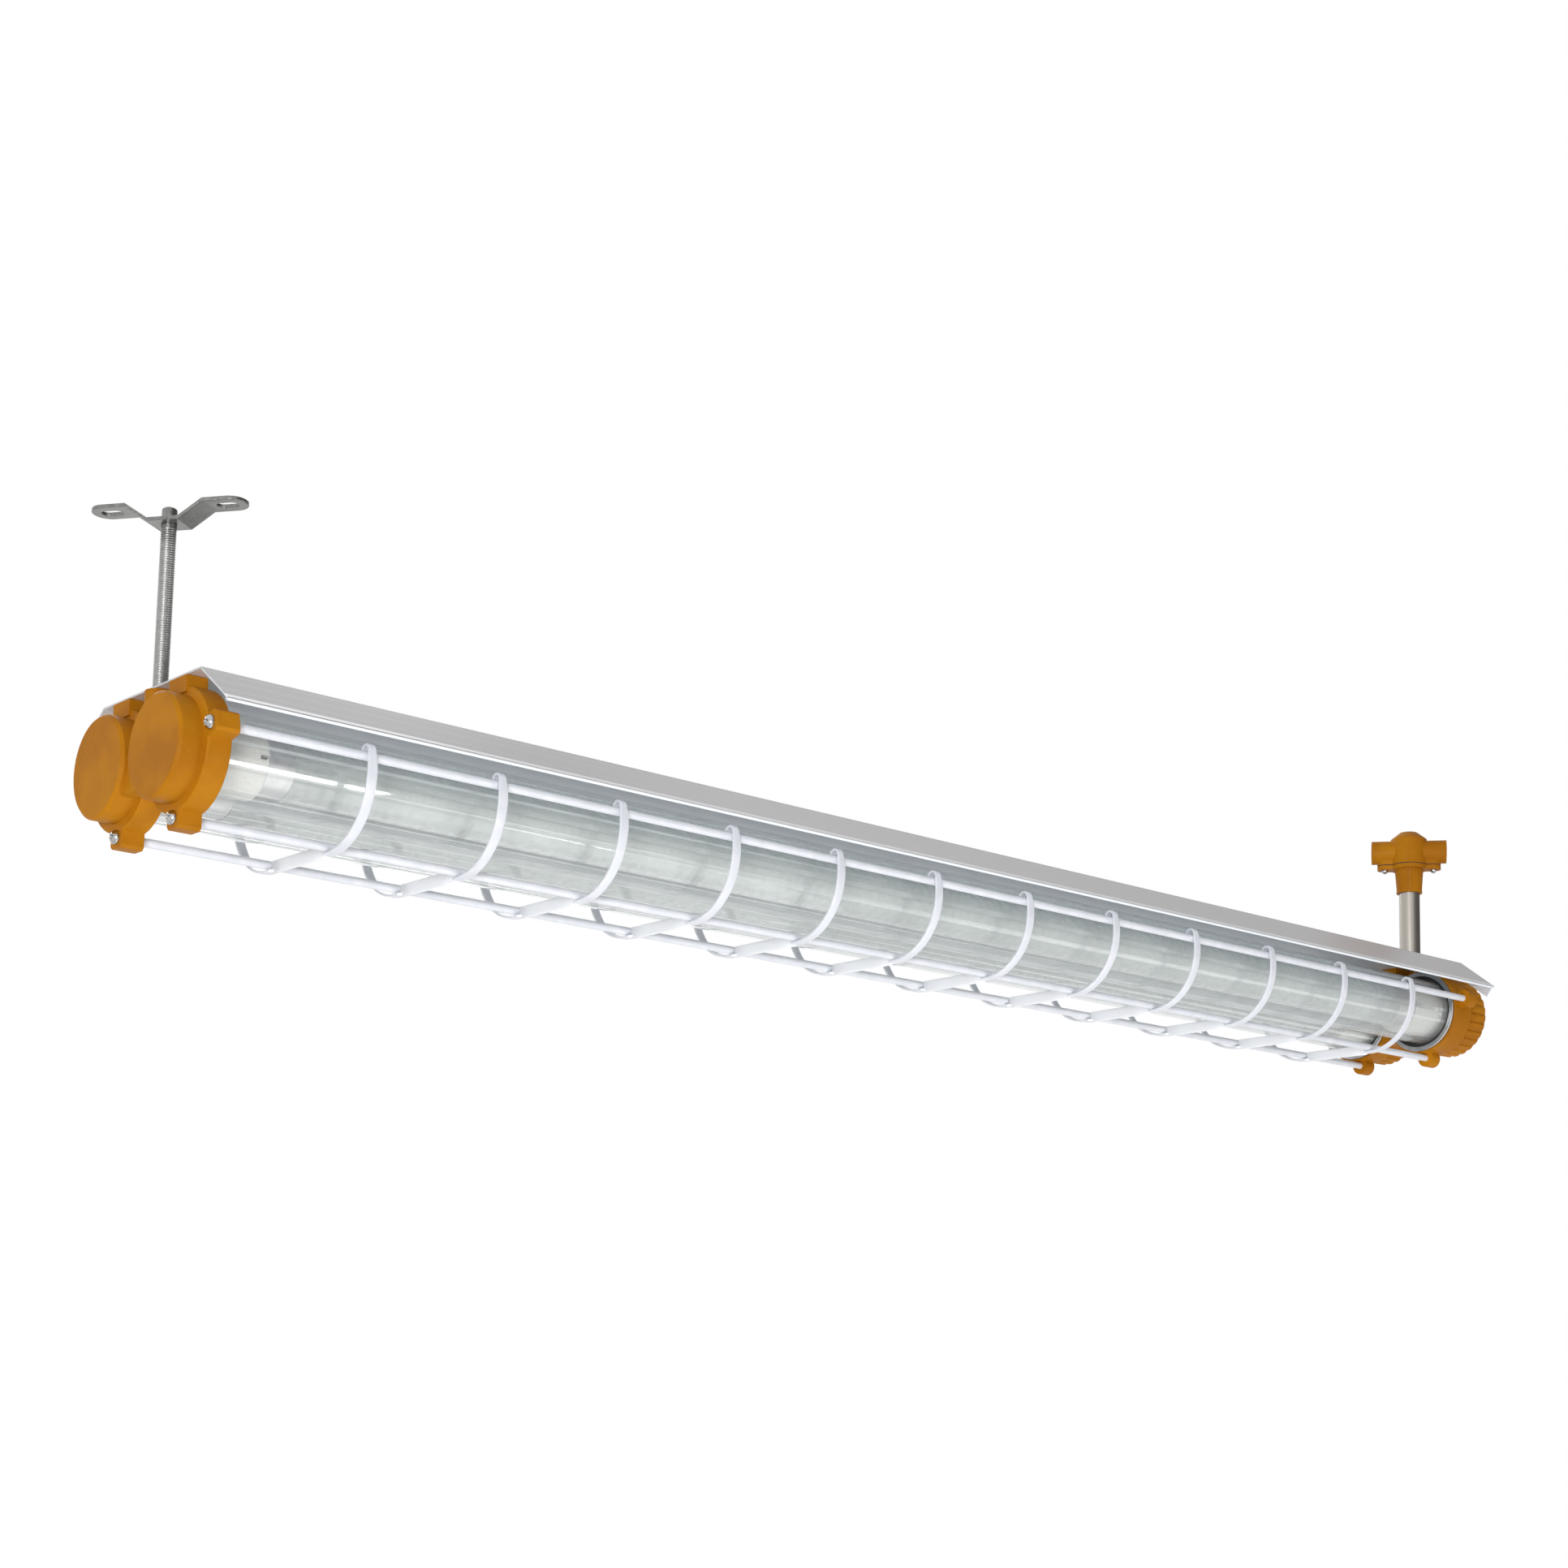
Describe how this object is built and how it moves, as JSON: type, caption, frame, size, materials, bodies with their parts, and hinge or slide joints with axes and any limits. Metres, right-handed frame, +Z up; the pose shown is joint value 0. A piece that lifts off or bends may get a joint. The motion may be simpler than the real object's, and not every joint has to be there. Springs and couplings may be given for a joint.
{
  "type": "explosion-proof light fixture",
  "caption": "Explosion-proof linear light fixture with glass tubes side by side, ochre end housings, sloped reflector, wire guard, screw caps, threaded hanging rod and conduit junction box.",
  "frame": {"origin": "top of the threaded hanging rod, on its axis", "axes": "+X along the tubes to the conduit pipe, +Y to the back tube, +Z up along the rod"},
  "size_m": [1.3873, 0.1992, 0.236],
  "materials": {
    "ochre_casting": "satin",
    "black_rubber": "matte",
    "wire_sleeve": "matte",
    "clear_glass": "polished",
    "lamp_glass": "satin",
    "lamp_metal": "satin",
    "holder_ceramic": "satin",
    "rotor_plastic": "satin",
    "reflector_enamel": "gloss",
    "chrome_screw": "polished",
    "zinc_steel": "satin",
    "polished_pipe": "polished",
    "guard_coat": "satin",
    "bright_steel": "polished",
    "terminal_ceramic": "satin"
  },
  "bodies": {
    "fixture": {"left_housing": "ochre_casting", "right_housing": "ochre_casting", "front_glass_tube": "clear_glass", "back_glass_tube": "clear_glass", "left_glass_seals": "black_rubber", "right_glass_seals": "black_rubber", "mouth_rings": "bright_steel", "front_left_lampholder": "holder_ceramic", "front_right_lampholder": "holder_ceramic", "back_left_lampholder": "holder_ceramic", "back_right_lampholder": "holder_ceramic", "reflector": "reflector_enamel", "reflector_screws": "chrome_screw", "front_upper_guard_rod": "guard_coat", "front_lower_guard_rod": "guard_coat", "back_lower_guard_rod": "guard_coat", "back_upper_guard_rod": "guard_coat", "guard_hoop_1": "guard_coat", "guard_hoop_2": "guard_coat", "guard_hoop_3": "guard_coat", "guard_hoop_4": "guard_coat", "guard_hoop_5": "guard_coat", "guard_hoop_6": "guard_coat", "guard_hoop_7": "guard_coat", "guard_hoop_8": "guard_coat", "guard_hoop_9": "guard_coat", "guard_hoop_10": "guard_coat", "guard_hoop_11": "guard_coat", "guard_hoop_12": "guard_coat", "guard_rod_screws": "chrome_screw", "hanger_rod": "zinc_steel", "conduit_pipe": "polished_pipe", "supply_wires": "wire_sleeve"},
    "hanger": {"hanger_bracket": "zinc_steel"},
    "junction_box": {"junction_box_body": "ochre_casting", "junction_box_base": "ochre_casting", "junction_box_gasket": "black_rubber", "junction_box_screws": "chrome_screw", "terminal_block": "terminal_ceramic"},
    "front_cap_slider": {"front_cap_washer": "black_rubber"},
    "front_cap": {"front_end_cap": "ochre_casting"},
    "back_cap_slider": {"back_cap_washer": "black_rubber"},
    "back_cap": {"back_end_cap": "ochre_casting"},
    "front_lamp": {"front_lamp_tube": "lamp_glass", "front_lamp_caps": "lamp_metal", "front_lamp_rotors": "rotor_plastic"},
    "back_lamp": {"back_lamp_tube": "lamp_glass", "back_lamp_caps": "lamp_metal", "back_lamp_rotors": "rotor_plastic"}
  },
  "joints": [
    {"name": "hanger_swivel", "type": "hinge", "parent": "fixture", "child": "hanger", "pos_m": [0, 0, -0.00885], "axis": [0, 0, 1], "continuous": true},
    {"name": "junction_box_swivel", "type": "hinge", "parent": "fixture", "child": "junction_box", "pos_m": [1.3215, 0, -0.03], "axis": [0, 0, 1], "range_deg": [-180, 180]},
    {"name": "front_cap_travel", "type": "slide", "parent": "fixture", "child": "front_cap_slider", "axis": [1, 0, 0], "range_m": [0, 0.0125]},
    {"name": "front_cap_turn", "type": "hinge", "parent": "front_cap_slider", "child": "front_cap", "pos_m": [1.32, -0.0372, -0.165], "axis": [1, 0, 0], "range_deg": [0, 1440]},
    {"name": "front_lamp_turn", "type": "hinge", "parent": "fixture", "child": "front_lamp", "pos_m": [0.65, -0.0372, -0.165], "axis": [1, 0, 0], "range_deg": [0, 90]},
    {"name": "back_cap_travel", "type": "slide", "parent": "fixture", "child": "back_cap_slider", "axis": [1, 0, 0], "range_m": [0, 0.0125]},
    {"name": "back_cap_turn", "type": "hinge", "parent": "back_cap_slider", "child": "back_cap", "pos_m": [1.32, 0.0372, -0.165], "axis": [1, 0, 0], "range_deg": [0, 1440]},
    {"name": "back_lamp_turn", "type": "hinge", "parent": "fixture", "child": "back_lamp", "pos_m": [0.65, 0.0372, -0.165], "axis": [1, 0, 0], "range_deg": [0, 90]}
  ],
  "couplings": [
    {"joint": "front_cap_travel", "follows": "front_cap_turn", "m_per_rad": 0.00047746},
    {"joint": "back_cap_travel", "follows": "back_cap_turn", "m_per_rad": 0.00047746}
  ]
}
